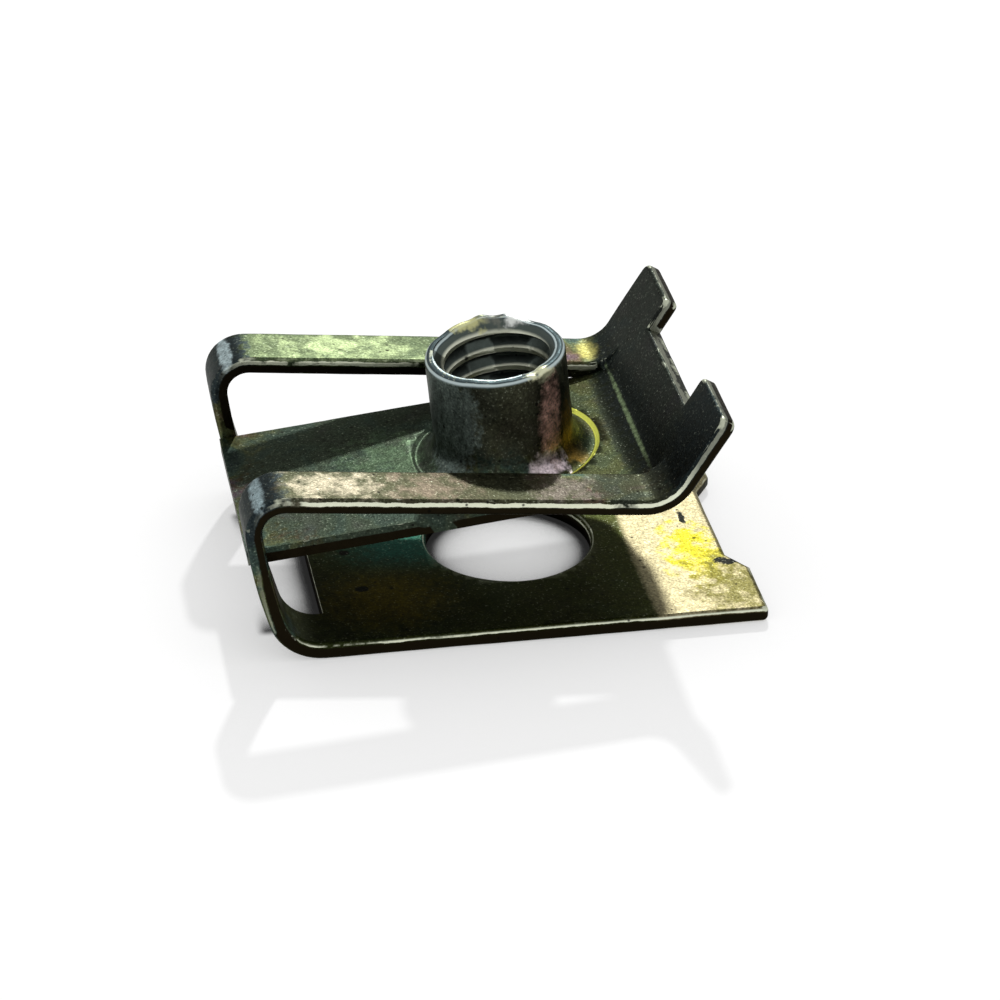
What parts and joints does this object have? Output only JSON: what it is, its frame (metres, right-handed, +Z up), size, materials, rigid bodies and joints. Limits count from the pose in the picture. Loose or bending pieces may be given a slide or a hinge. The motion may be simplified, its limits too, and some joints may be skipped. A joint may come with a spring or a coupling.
{
  "type": "u clip speed nut",
  "caption": "Folded spring-steel clip nut: a threaded collar on a sprung tongue over a clearance hole, a U-bend back and a flared, notched lip that leads it over a panel edge.",
  "frame": {"origin": "centre of the clearance hole on the underside of the bottom leaf", "axes": "+X along the clip towards its open mouth and flared lip, +Z up from the bottom leaf through the threaded collar, +Y across"},
  "size_m": [0.0249, 0.017, 0.0115],
  "materials": {
    "zinc_plated_steel": "zinc plating with yellow chromate, satin and mottled"
  },
  "bodies": {
    "root": {"clip": "zinc_plated_steel"}
  },
  "joints": []
}
